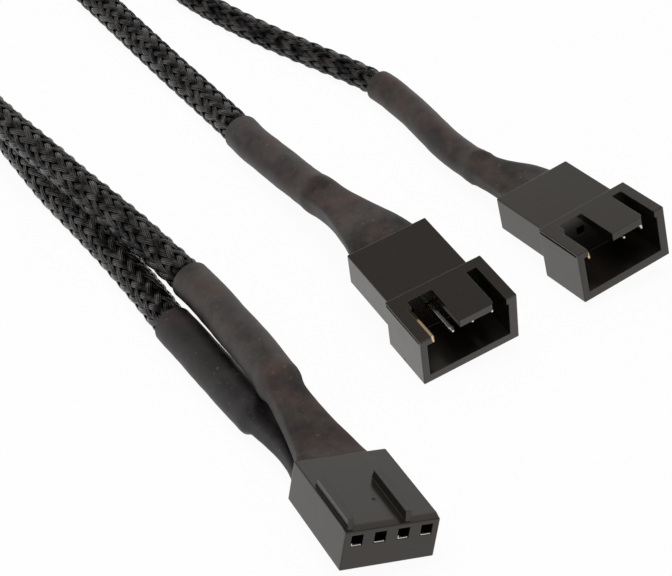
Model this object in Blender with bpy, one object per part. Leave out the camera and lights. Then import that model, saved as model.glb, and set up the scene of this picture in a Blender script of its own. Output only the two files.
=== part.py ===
"""Fan splitter cable: one four-hole plug whose two sleeved leads end in a four-pin housing each.

Lengths are metres. Each connector is built in a frame of its own: x to the right seen from its mating face,
y from the mating face towards the cable, z up, with the origin under the middle of the mating face.
"""

import math
from collections import namedtuple

import bmesh
import bpy
from mathutils import Matrix, Vector

MM = 0.001

# What both kinds of housing share
WAYS = 4
PITCH = 2.54 * MM
FIT = 0.2 * MM                  # clearance of a piece that seats in another
MATING_PLAY = 0.14 * MM         # plug to mouth of the pin housing, both sides together
PIN_SIDE = 0.64 * MM
CRIMP_WIDTH = 1.25 * MM
CRIMP_LENGTH = 1.9 * MM
CRIMP_NECK = 0.6 * MM
CRIMP_NECK_WIDTH = 0.8 * MM
MOULD_RADIUS = 0.12 * MM
OVERCUT = 1.0 * MM              # how far a cutter runs past the face it opens

# Plug with four holes
PLUG_LENGTH = 12.45 * MM
PLUG_HEIGHT = 4.66 * MM
PLUG_END_WALL = 0.42 * MM
PLUG_LEAD_LENGTH = 0.9 * MM
PLUG_LEAD_DROP = 0.12 * MM
HOLE_SIDE = 1.3 * MM
HOLE_DROP = 1.23 * MM           # from the plug's top to the middle of the holes
FRONT_WALL = 1.4 * MM
SOCKET_SIDE = 1.5 * MM
SOCKET_WALL = 0.22 * MM
SOCKET_LENGTH = 4.8 * MM
SOCKET_BORE_DEPTH = 4.0 * MM
REAR_CHAMBER_FLOOR = 0.5 * MM
REAR_CHAMBER_ROOF = 0.56 * MM
REAR_CHAMBER_WALL = 0.54 * MM   # between two neighbouring chambers
REAR_CHAMBER_START = 6.9 * MM
RIB_WIDTH = 0.6 * MM
RIB_HEIGHT = 1.0 * MM
RIB_SLOPE = 0.25 * MM           # how far the ribs' ends lean back
LEFT_RIB_X = 0.35 * MM          # from the plug's left side
LEFT_RIB_ENDS = (0.3 * MM, 8.0 * MM)
RIGHT_RIB_X = 6.6 * MM
RIGHT_RIB_ENDS = (0.25 * MM, 8.0 * MM)
PLUG_WINDOW_WIDTH = 1.0 * MM
PLUG_WINDOW_ENDS = (3.9 * MM, 5.5 * MM)

# Housing with pins
SHROUD_DEPTH = 7.4 * MM
MOUTH_DEPTH = 6.05 * MM
LEFT_WALL = 0.8 * MM
RIGHT_WALL = 1.1 * MM
FLOOR_WALL = 1.15 * MM
TOP_WALL = 0.85 * MM
LEFT_LIP = 1.45 * MM            # strip of the top that is left beside the openings
LEFT_LIP_STEP = 0.55 * MM       # the strip widens by this behind LEFT_LIP_STEP_Y
LEFT_LIP_STEP_Y = 5.0 * MM
RIGHT_LIP = 1.35 * MM
TONGUE_SIDE_GAP = 0.6 * MM      # between a seated plug's rib and the tongue
TONGUE_SETBACK = 0.3 * MM
TONGUE_THICKNESS = 1.0 * MM
TONGUE_CORNER_RADIUS = 0.5 * MM
SLIT_HEIGHT = 0.3 * MM
SLIT_DROP = 0.2 * MM            # top face down to the slit
SLIT_DEPTH = 0.9 * MM
SLIT_ENDS = (0.25 * MM, 7.15 * MM)
REAR_LENGTH = 8.8 * MM
REAR_STEP_UP = 2.3 * MM
REAR_STEP_DOWN = 0.15 * MM
REAR_LEFT_WALL = 0.8 * MM
REAR_RIGHT_WALL = 0.3 * MM
TERMINAL_SIDE = 1.2 * MM
TERMINAL_OFFSET = 0.3 * MM      # the pin stands this far to the right of its terminal's middle
TERMINAL_LENGTH = 2.8 * MM
TERMINAL_START = 7.8 * MM
CAVITY_HEIGHT = 2.4 * MM
PIN_TIP_Y = 1.15 * MM
PIN_TAPER = 0.45 * MM
PIN_TIP_SIDE = 0.22 * MM
REAR_WINDOW_WIDTH = 1.0 * MM
REAR_WINDOW_ENDS = (8.6 * MM, 10.1 * MM)

# Places of the three connectors: origin, then turn about z, nose up, and lean
PLUG_PLACE = (Vector((-21.7, -39.2, 2.1)) * MM, 0.0, -5.22, 11.31)
HOUSING_A_PLACE = (Vector((0.95, -14.2, 0.95)) * MM, 5.35, 4.23, -9.14)
HOUSING_B_PLACE = (Vector((23.5, -9.65, 1.87)) * MM, 7.05, -7.08, -9.3)

# Ways that carry a wire in each branch, counted from the plug's left side
BRANCH_A_WAYS = (0, 1, 2, 3)
BRANCH_B_WAYS = (0, 1, 3)

# Leads and their heat-shrink sleeves
WIRE_DIAMETER = 0.76 * MM
WIRE_GAP = 0.18 * MM            # between neighbouring wires and to the sleeve
WIRE_CRIMP_SPREAD = 0.66 * MM   # the two wires of one plug terminal lie this far above and below it
WIRE_ROW_START = 0.2 * MM       # the wires lie in their row this far inside the sleeve
WIRE_STEPS = 8
PLUG_CRIMP_DROP = 1.2 * MM      # roof of the plug's rear chambers down to the middle of the crimps
PLUG_WIRE_BEND = 2.6 * MM       # before the plug's back face
HOUSING_WIRE_BEND = 0.5 * MM    # before a pin housing's back face
SLEEVE_WALL = 0.33 * MM
SLEEVE_CLEARANCE = 0.25 * MM    # mouth behind the housing, cord inside the sleeve, wires before the cord
SLEEVE_SIDES = 16
FLARE_POWER = 1.5
FLARE_RINGS = 6
SWELL_RINGS = 3
TUBE_RINGS = 6
OBLONG_EXPONENT = 3.8
LEAD_STRAIGHT = 2.0 * MM
RIM_CLEARANCE = 0.3 * MM        # the cord leaves the sleeve's rim before it swells
RIM_SWELL = 1.2 * MM
GILT_WAYS = (0,)
BUMP_HEIGHT = 0.15 * MM
BUMP_LENGTH = 1.0 * MM
CORD_RADIUS_A = 2.03 * MM
CORD_RADIUS_B = 1.65 * MM       # at the pin housing; the plug's end is as thick as branch A
CORD_POINTS = 70
SLEEVE_RADIUS = 2.33 * MM
SLIM_SLEEVE_RADIUS = 1.9 * MM
PLUG_SLEEVE_LENGTH_A = 30.9 * MM
PLUG_SLEEVE_LENGTH_B = 33.9 * MM
HOUSING_SLEEVE_LENGTH_A = 34.6 * MM
HOUSING_SLEEVE_LENGTH_B = 32.6 * MM
PLUG_BUMP_A = 13.0 * MM         # where the braid ends under the sleeve
PLUG_BUMP_B = 11.8 * MM
HOUSING_BUMP_A = 15.2 * MM
HOUSING_BUMP_B = 9.1 * MM
PLUG_MOUTH_WIDTH = 9.1 * MM
PLUG_MOUTH_HEIGHT = 1.9 * MM
HOUSING_MOUTH_WIDTH = 9.4 * MM
HOUSING_MOUTH_HEIGHT = 2.1 * MM
NECK_WIDTH = 3.9 * MM
WIDE_NECK_WIDTH = 4.2 * MM
PLUG_NECK_HEIGHT = 2.4 * MM
HOUSING_NECK_HEIGHT = 2.5 * MM
PLUG_FLARE_A = 11.4 * MM        # from the mouth to the neck
PLUG_FLARE_B = 10.2 * MM
HOUSING_FLARE_A = 12.6 * MM
HOUSING_FLARE_B = 8.0 * MM

# Where the leads leave the plug: heights above its underside or below its top, and the shift from its middle
PLUG_LEAD_HEIGHT_A = 1.17 * MM
PLUG_LEAD_DROP_B = 1.25 * MM    # from the plug's top
PLUG_LEAD_SHIFT = -0.3 * MM

# Points of the leads between the connectors, chosen along the way they lie, in millimetres
ROUTE_A = (
    (-22.1, -22.6, 2.2), (-22.9, -19.5, 2.3), (-24.1, -16.1, 2.4), (-25.1, -12.3, 2.4), (-25.8, -7.5, 2.4),
    (-26.6, -1.6, 2.4), (-27.3, 4.0, 2.3), (-27.8, 11.3, 2.1), (-28.7, 19.2, 2.1), (-29.8, 26.7, 2.1),
    (-31.0, 34.3, 2.1), (-31.8, 42.4, 2.1), (-32.6, 51.5, 2.1), (-33.7, 61.9, 2.1), (-34.8, 72.9, 2.1),
    (-35.7, 82.5, 2.1), (-33.4, 91.9, 2.1), (-25.4, 96.3, 2.1), (-16.7, 93.1, 2.1), (-12.4, 84.7, 2.1),
    (-10.8, 75.0, 2.1), (-9.4, 64.5, 2.1), (-7.9, 53.5, 2.1), (-6.7, 45.5, 2.1), (-5.7, 36.9, 2.4),
    (-5.4, 32.2, 2.8), (-4.9, 27.5, 3.3), (-4.4, 22.9, 3.9), (-3.9, 18.0, 4.6), (-3.3, 13.6, 5.3),
    (-2.7, 9.5, 6.0),
)
ROUTE_B = (
    (-21.6, -22.3, 4.6), (-22.1, -19.1, 5.6), (-22.5, -15.4, 6.7), (-22.7, -10.0, 6.9), (-23.0, -3.9, 6.2),
    (-23.2, 2.6, 5.5), (-23.9, 7.5, 5.2), (-25.0, 12.2, 5.4), (-26.4, 17.4, 5.9), (-28.0, 22.9, 6.3),
    (-29.5, 28.1, 6.5), (-31.0, 34.5, 6.6), (-32.8, 42.3, 6.5), (-34.7, 51.9, 6.2), (-37.0, 62.4, 5.2),
    (-39.5, 73.5, 3.3), (-41.2, 84.9, 2.1), (-36.4, 98.1, 2.1), (-21.6, 104.5, 2.1), (-7.3, 98.2, 2.1),
    (-1.4, 84.5, 2.1), (0.1, 76.2, 2.0), (1.9, 69.1, 1.9), (4.3, 62.7, 1.8), (6.9, 56.7, 1.8),
    (10.0, 50.5, 1.7), (13.0, 44.5, 1.7), (15.0, 39.1, 1.9), (15.8, 34.5, 2.2), (16.2, 30.1, 2.4),
    (16.2, 25.7, 2.7), (16.3, 21.5, 2.9), (16.8, 17.6, 3.2), (17.8, 13.6, 3.5),
)

# Sizes that follow from the ones above
PIN_SPAN = (WAYS - 1) * PITCH
CHAMBER_SIDE = SOCKET_SIDE + 2 * FIT
HOLE_HEIGHT = PLUG_HEIGHT - HOLE_DROP
PLUG_WIDTH = PIN_SPAN + CHAMBER_SIDE + 2 * PLUG_END_WALL
PLUG_LEFT = -PLUG_WIDTH / 2
MOUTH_WIDTH = PLUG_WIDTH + MATING_PLAY
MOUTH_HEIGHT = PLUG_HEIGHT + MATING_PLAY
SHROUD_WIDTH = LEFT_WALL + MOUTH_WIDTH + RIGHT_WALL
SHROUD_HEIGHT = FLOOR_WALL + MOUTH_HEIGHT + TOP_WALL
SHROUD_LEFT = -SHROUD_WIDTH / 2
MOUTH_LEFT = SHROUD_LEFT + LEFT_WALL
MOUTH_MIDDLE = MOUTH_LEFT + MOUTH_WIDTH / 2
MOUTH_TOP = FLOOR_WALL + MOUTH_HEIGHT
PIN_HEIGHT = FLOOR_WALL + MATING_PLAY / 2 + HOLE_HEIGHT
CAVITY_SIDE = TERMINAL_SIDE + 2 * FIT
REAR_MIDDLE = MOUTH_MIDDLE - TERMINAL_OFFSET + (REAR_RIGHT_WALL - REAR_LEFT_WALL) / 2
REAR_WIDTH = PIN_SPAN + CAVITY_SIDE + REAR_LEFT_WALL + REAR_RIGHT_WALL
REAR_TOP = SHROUD_HEIGHT - REAR_STEP_DOWN
HOUSING_LENGTH = SHROUD_DEPTH + REAR_LENGTH
CHAMBER_WIDTH = PITCH - REAR_CHAMBER_WALL
PLUG_LEAD_HEIGHT_B = PLUG_HEIGHT - PLUG_LEAD_DROP_B
PLUG_CRIMP_HEIGHT = PLUG_HEIGHT - REAR_CHAMBER_ROOF - PLUG_CRIMP_DROP
PLUG_CRIMP_END = REAR_CHAMBER_START + CRIMP_NECK + CRIMP_LENGTH
PIN_CRIMP_END = TERMINAL_START + TERMINAL_LENGTH + CRIMP_NECK + CRIMP_LENGTH
Sleeve = namedtuple("Sleeve", "length bump mouth_width mouth_height neck_width neck_height flare radius")
PLUG_MOUTH = (PLUG_MOUTH_WIDTH, PLUG_MOUTH_HEIGHT)
PLUG_NECK = (NECK_WIDTH, PLUG_NECK_HEIGHT)
HOUSING_MOUTH = (HOUSING_MOUTH_WIDTH, HOUSING_MOUTH_HEIGHT)
HOUSING_NECK_A = (WIDE_NECK_WIDTH, HOUSING_NECK_HEIGHT)
HOUSING_NECK_B = (NECK_WIDTH, HOUSING_NECK_HEIGHT)
PLUG_SLEEVE_A = Sleeve(PLUG_SLEEVE_LENGTH_A, PLUG_BUMP_A, *PLUG_MOUTH, *PLUG_NECK, PLUG_FLARE_A, SLEEVE_RADIUS)
PLUG_SLEEVE_B = Sleeve(PLUG_SLEEVE_LENGTH_B, PLUG_BUMP_B, *PLUG_MOUTH, *PLUG_NECK, PLUG_FLARE_B, SLEEVE_RADIUS)
HOUSING_SLEEVE_A = Sleeve(
    HOUSING_SLEEVE_LENGTH_A, HOUSING_BUMP_A, *HOUSING_MOUTH, *HOUSING_NECK_A, HOUSING_FLARE_A, SLEEVE_RADIUS,
)
HOUSING_SLEEVE_B = Sleeve(
    HOUSING_SLEEVE_LENGTH_B, HOUSING_BUMP_B, *HOUSING_MOUTH, *HOUSING_NECK_B, HOUSING_FLARE_B, SLIM_SLEEVE_RADIUS,
)


def way_x(way):
    """Distance of a way from the middle one, way 0 being the leftmost seen from the mating face."""
    return way * PITCH - PIN_SPAN / 2


def material(name, colour, roughness, metallic=0.0):
    found = bpy.data.materials.get(name)
    if found:
        return found
    made = bpy.data.materials.new(name)
    made.use_nodes = True
    shader = made.node_tree.nodes["Principled BSDF"]
    shader.inputs["Base Color"].default_value = (*colour, 1.0)
    shader.inputs["Roughness"].default_value = roughness
    shader.inputs["Metallic"].default_value = metallic
    return made


def plastic():
    return material("black moulded plastic", (0.035, 0.033, 0.031), 0.3)


def tin():
    return material("tinned terminal", (0.75, 0.74, 0.71), 0.25, 1.0)


def gold():
    return material("gilt terminal", (0.8, 0.62, 0.3), 0.25, 1.0)


def sleeve_skin():
    return material("heat-shrink sleeve", (0.045, 0.042, 0.039), 0.55)


def braid():
    return material("braided sleeve", (0.02, 0.019, 0.018), 0.6)


def wire_skin():
    return material("wire insulation", (0.015, 0.015, 0.015), 0.4)


def object_from(name, mesh_builder, look=None, parent=None):
    """One object from a bmesh, with its faces turned outwards."""
    bmesh.ops.recalc_face_normals(mesh_builder, faces=mesh_builder.faces)
    mesh = bpy.data.meshes.new(name)
    mesh_builder.to_mesh(mesh)
    mesh_builder.free()
    made = bpy.data.objects.new(name, mesh)
    bpy.context.collection.objects.link(made)
    if look:
        mesh.materials.append(look)
    made.parent = parent
    return made


def add_box(builder, low, high):
    middle = (Vector(low) + Vector(high)) / 2
    size = Vector(high) - Vector(low)
    place = Matrix.Translation(middle) @ Matrix.Diagonal((*size, 1.0))
    return bmesh.ops.create_cube(builder, size=1.0, matrix=place)["verts"]


def rounded_box(low, high, radius):
    """A box whose edges all have a small mould radius."""
    builder = bmesh.new()
    add_box(builder, low, high)
    bmesh.ops.bevel(builder, geom=builder.edges[:], offset=radius, segments=2, profile=0.5, affect="EDGES")
    return builder


def loft(rings):
    """A closed skin through rings of equally many points, with the first and last ring capped."""
    builder = bmesh.new()
    rows = [[builder.verts.new(point) for point in ring] for ring in rings]
    for before, after in zip(rows, rows[1:]):
        for index, corner in enumerate(before):
            following = (index + 1) % len(before)
            builder.faces.new((corner, before[following], after[following], after[index]))
    builder.faces.new(rows[0])
    builder.faces.new(rows[-1][::-1])
    return builder


def section(y, x, z, width, height):
    """A rectangle across y, around the point x, z."""
    return [Vector((x + sx * width / 2, y, z + sz * height / 2)) for sx, sz in ((-1, -1), (1, -1), (1, 1), (-1, 1))]


def prism(outline, low, high, axis):
    """An outline of two coordinates, extruded along the third from low to high."""
    order = {"x": lambda a, b, c: (c, a, b), "z": lambda a, b, c: (a, b, c)}[axis]
    return loft([[Vector(order(a, b, level)) for a, b in outline] for level in (low, high)])


def boolean(target, helper, operation):
    """Joins or cuts with a helper that stays as a wire guide."""
    helper.hide_render = True
    helper.display_type = "WIRE"
    helper.parent = target.parent
    step = target.modifiers.new(helper.name, "BOOLEAN")
    step.operation = operation
    step.object = helper


def boxes(name, corners):
    builder = bmesh.new()
    for low, high in corners:
        add_box(builder, low, high)
    return object_from(name, builder)


def arc(centre, radius, start, end, steps=4):
    angles = [math.radians(start + (end - start) * step / steps) for step in range(steps + 1)]
    return [(centre[0] + radius * math.cos(angle), centre[1] + radius * math.sin(angle)) for angle in angles]


def connector_frame(name, place):
    """An empty that holds one connector: turned about z, then tipped about x, then leaned about y."""
    origin, turn, nose, lean = place
    frame = bpy.data.objects.new(name, None)
    frame.rotation_mode = "YXZ"
    frame.location = origin
    frame.rotation_euler = [math.radians(angle) for angle in (nose, lean, turn)]
    bpy.context.collection.objects.link(frame)
    return frame


def stepped_channel(name, stations):
    """A cutter whose rectangular section changes in steps along y: stations of y, x, z, width and height."""
    return object_from(name, loft([section(*station) for station in stations]))


def crimp_rings(start, x, body_z, z):
    """The neck behind a terminal's body, which may lie at another height, and the crimp barrel."""
    barrel = start + CRIMP_NECK
    end = barrel + CRIMP_LENGTH
    return [
        section(start, x, body_z, CRIMP_NECK_WIDTH, CRIMP_NECK_WIDTH),
        section(barrel, x, z, CRIMP_NECK_WIDTH, CRIMP_NECK_WIDTH),
        section(barrel, x, z, CRIMP_WIDTH, CRIMP_WIDTH),
        section(end, x, z, CRIMP_WIDTH, CRIMP_WIDTH),
    ]


def make_plug_housing(frame):
    """Body with a sloped front lip on its top, two ribs, four stepped channels and the latch windows below."""
    profile = (
        (0.0, 0.0),
        (PLUG_LENGTH, 0.0),
        (PLUG_LENGTH, PLUG_HEIGHT),
        (PLUG_LEAD_LENGTH, PLUG_HEIGHT),
        (0.0, PLUG_HEIGHT - PLUG_LEAD_DROP),
    )
    builder = prism(profile, PLUG_LEFT, -PLUG_LEFT, "x")
    bmesh.ops.bevel(builder, geom=builder.edges[:], offset=MOULD_RADIUS, segments=2, profile=0.5, affect="EDGES")
    housing = object_from("female_housing", builder, plastic(), frame)
    for name, rib_x, (start, end) in (
        ("left_rib_guide", LEFT_RIB_X, LEFT_RIB_ENDS),
        ("right_rib_guide", RIGHT_RIB_X, RIGHT_RIB_ENDS),
    ):
        top = PLUG_HEIGHT + RIB_HEIGHT
        foot = PLUG_HEIGHT - REAR_CHAMBER_ROOF / 2
        outline = ((start, foot), (end, foot), (end - RIB_SLOPE, top), (start + RIB_SLOPE, top))
        rib = prism(outline, PLUG_LEFT + rib_x, PLUG_LEFT + rib_x + RIB_WIDTH, "x")
        boolean(housing, object_from(name, rib), "UNION")
    rear_height = PLUG_HEIGHT - REAR_CHAMBER_FLOOR - REAR_CHAMBER_ROOF
    rear_z = REAR_CHAMBER_FLOOR + rear_height / 2
    for way in range(WAYS):
        x = way_x(way)
        stations = (
            (-OVERCUT, x, HOLE_HEIGHT, HOLE_SIDE, HOLE_SIDE),
            (FRONT_WALL, x, HOLE_HEIGHT, HOLE_SIDE, HOLE_SIDE),
            (FRONT_WALL, x, HOLE_HEIGHT, CHAMBER_SIDE, CHAMBER_SIDE),
            (REAR_CHAMBER_START, x, HOLE_HEIGHT, CHAMBER_SIDE, CHAMBER_SIDE),
            (REAR_CHAMBER_START, x, rear_z, CHAMBER_WIDTH, rear_height),
            (PLUG_LENGTH + OVERCUT, x, rear_z, CHAMBER_WIDTH, rear_height),
        )
        boolean(housing, stepped_channel(f"plug_channel_guide_{way + 1}", stations), "DIFFERENCE")
    half = PLUG_WINDOW_WIDTH / 2
    start, end = PLUG_WINDOW_ENDS
    windows = [((way_x(way) - half, start, -OVERCUT), (way_x(way) + half, end, HOLE_HEIGHT)) for way in range(WAYS)]
    boolean(housing, boxes("plug_window_guide", windows), "DIFFERENCE")


def make_sockets(frame):
    """Hollow box contacts behind the holes, each with a crimp barrel for the wires."""
    front = FRONT_WALL + FIT
    back = front + SOCKET_LENGTH
    bore = SOCKET_SIDE - 2 * SOCKET_WALL
    for way in range(WAYS):
        x = way_x(way)
        rings = [
            section(front + SOCKET_BORE_DEPTH, x, HOLE_HEIGHT, bore, bore),
            section(front, x, HOLE_HEIGHT, bore, bore),
            section(front, x, HOLE_HEIGHT, SOCKET_SIDE, SOCKET_SIDE),
            section(back, x, HOLE_HEIGHT, SOCKET_SIDE, SOCKET_SIDE),
        ]
        rings.append(section(back, x, HOLE_HEIGHT, CRIMP_NECK_WIDTH, CRIMP_NECK_WIDTH))
        rings += crimp_rings(REAR_CHAMBER_START, x, HOLE_HEIGHT, PLUG_CRIMP_HEIGHT)
        object_from(f"socket_{way + 1}", loft(rings), tin(), frame)


def make_pin_housing(letter, frame):
    """Shroud open on both sides of a tongue, with a narrower rear body that holds the terminals."""
    housing = object_from(
        f"male_housing_{letter}",
        rounded_box((SHROUD_LEFT, 0.0, 0.0), (-SHROUD_LEFT, SHROUD_DEPTH, SHROUD_HEIGHT), MOULD_RADIUS),
        plastic(),
        frame,
    )
    rear_left = REAR_MIDDLE - REAR_WIDTH / 2
    rear = rounded_box(
        (rear_left, MOUTH_DEPTH + MOULD_RADIUS, REAR_STEP_UP),
        (rear_left + REAR_WIDTH, HOUSING_LENGTH, REAR_TOP),
        MOULD_RADIUS,
    )
    boolean(housing, object_from(f"rear_body_guide_{letter}", rear), "UNION")
    mouth = ((MOUTH_LEFT, -OVERCUT, FLOOR_WALL), (MOUTH_LEFT + MOUTH_WIDTH, MOUTH_DEPTH, MOUTH_TOP))
    boolean(housing, boxes(f"mouth_guide_{letter}", [mouth]), "DIFFERENCE")
    opening_left = SHROUD_LEFT + LEFT_LIP
    opening_right = -SHROUD_LEFT - RIGHT_LIP
    outline = (
        (opening_left, -OVERCUT),
        (opening_right, -OVERCUT),
        (opening_right, MOUTH_DEPTH),
        (opening_left + LEFT_LIP_STEP, MOUTH_DEPTH),
        (opening_left + LEFT_LIP_STEP, LEFT_LIP_STEP_Y),
        (opening_left, LEFT_LIP_STEP_Y),
    )
    opening = prism(outline, MOUTH_TOP - OVERCUT, SHROUD_HEIGHT + OVERCUT, "z")
    boolean(housing, object_from(f"top_opening_guide_{letter}", opening), "DIFFERENCE")
    boolean(housing, tongue_guide(letter), "UNION")
    slit_top = SHROUD_HEIGHT - SLIT_DROP
    slit = (
        (SHROUD_LEFT - OVERCUT, SLIT_ENDS[0], slit_top - SLIT_HEIGHT),
        (SHROUD_LEFT + SLIT_DEPTH, SLIT_ENDS[1], slit_top),
    )
    boolean(housing, boxes(f"slit_guide_{letter}", [slit]), "DIFFERENCE")
    hole = PIN_SIDE + 2 * FIT
    cavity_start = TERMINAL_START - FIT
    for way in range(WAYS):
        pin_x = MOUTH_MIDDLE + way_x(way)
        cavity_x = pin_x - TERMINAL_OFFSET
        stations = (
            (MOUTH_DEPTH - OVERCUT, pin_x, PIN_HEIGHT, hole, hole),
            (cavity_start, pin_x, PIN_HEIGHT, hole, hole),
            (cavity_start, cavity_x, PIN_HEIGHT, CAVITY_SIDE, CAVITY_HEIGHT),
            (HOUSING_LENGTH + OVERCUT, cavity_x, PIN_HEIGHT, CAVITY_SIDE, CAVITY_HEIGHT),
        )
        boolean(housing, stepped_channel(f"pin_channel_guide_{letter}_{way + 1}", stations), "DIFFERENCE")
    windows = []
    for way in range(WAYS):
        x = MOUTH_MIDDLE + way_x(way) - TERMINAL_OFFSET
        low = (x - REAR_WINDOW_WIDTH / 2, REAR_WINDOW_ENDS[0], REAR_STEP_UP - OVERCUT)
        high = (x + REAR_WINDOW_WIDTH / 2, REAR_WINDOW_ENDS[1], PIN_HEIGHT)
        windows.append((low, high))
    boolean(housing, boxes(f"rear_window_guide_{letter}", windows), "DIFFERENCE")


def tongue_guide(letter):
    """The tongue between the openings: it lies between a seated plug's ribs, with one rounded corner."""
    seated_left_rib = MOUTH_MIDDLE - (PLUG_LEFT + LEFT_RIB_X + RIB_WIDTH)
    seated_right_rib = MOUTH_MIDDLE - (PLUG_LEFT + RIGHT_RIB_X)
    left = seated_right_rib + TONGUE_SIDE_GAP
    right = seated_left_rib - TONGUE_SIDE_GAP
    radius = TONGUE_CORNER_RADIUS
    root = MOUTH_DEPTH + MOULD_RADIUS
    outline = [(left, root), (left, TONGUE_SETBACK)]
    outline += arc((right - radius, TONGUE_SETBACK + radius), radius, -90, 0)
    outline += [(right, root)]
    tongue = prism(outline, SHROUD_HEIGHT - TONGUE_THICKNESS, SHROUD_HEIGHT, "z")
    return object_from(f"tongue_guide_{letter}", tongue)


def make_pins(letter, frame, ways, gilt_ways):
    """Square pins with pyramid tips, each in one piece with its terminal and crimp barrel."""
    body_end = TERMINAL_START + TERMINAL_LENGTH
    for way in ways:
        x = MOUTH_MIDDLE + way_x(way)
        body_x = x - TERMINAL_OFFSET
        rings = [
            section(PIN_TIP_Y, x, PIN_HEIGHT, PIN_TIP_SIDE, PIN_TIP_SIDE),
            section(PIN_TIP_Y + PIN_TAPER, x, PIN_HEIGHT, PIN_SIDE, PIN_SIDE),
            section(TERMINAL_START, x, PIN_HEIGHT, PIN_SIDE, PIN_SIDE),
            section(TERMINAL_START, body_x, PIN_HEIGHT, TERMINAL_SIDE, TERMINAL_SIDE),
            section(body_end, body_x, PIN_HEIGHT, TERMINAL_SIDE, TERMINAL_SIDE),
        ]
        rings += crimp_rings(body_end, body_x, PIN_HEIGHT, PIN_HEIGHT)
        look = gold() if way in gilt_ways else tin()
        object_from(f"pin_{letter}{way + 1}", loft(rings), look, frame)


class Route:
    """A smooth curve through hand-chosen points, read by the distance along it."""

    SAMPLES = 24

    def __init__(self, points):
        first = points[0] * 2 - points[1]
        last = points[-1] * 2 - points[-2]
        guide = [first, *points, last]
        self.points = []
        for index in range(1, len(guide) - 2):
            self.points += [self.between(guide[index - 1:index + 3], step / self.SAMPLES) for step in range(self.SAMPLES)]
        self.points.append(points[-1])
        self.marks = [0.0]
        for before, after in zip(self.points, self.points[1:]):
            self.marks.append(self.marks[-1] + (after - before).length)
        self.length = self.marks[-1]

    @staticmethod
    def between(four, share):
        """Centripetal interpolation between the second and third of four points."""
        knots = [0.0]
        for before, after in zip(four, four[1:]):
            knots.append(knots[-1] + math.sqrt((after - before).length))
        at = knots[1] + (knots[2] - knots[1]) * share

        def blend(one, other, low, high):
            return one.lerp(other, (at - knots[low]) / (knots[high] - knots[low]))

        legs = [blend(four[index], four[index + 1], index, index + 1) for index in range(3)]
        arcs = [blend(legs[index], legs[index + 1], index, index + 2) for index in range(2)]
        return blend(arcs[0], arcs[1], 1, 2)

    def at(self, distance):
        """The point and the direction at a distance along the curve, which runs straight on past its ends."""
        if distance <= 0:
            direction = (self.points[1] - self.points[0]).normalized()
            return self.points[0] + direction * distance, direction
        if distance >= self.length:
            direction = (self.points[-1] - self.points[-2]).normalized()
            return self.points[-1] + direction * (distance - self.length), direction
        index = next(i for i, mark in enumerate(self.marks) if mark > distance)
        share = (distance - self.marks[index - 1]) / (self.marks[index] - self.marks[index - 1])
        direction = (self.points[index] - self.points[index - 1]).normalized()
        return self.points[index - 1].lerp(self.points[index], share), direction


def smooth(share):
    share = min(max(share, 0.0), 1.0)
    return share * share * (3 - 2 * share)


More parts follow.
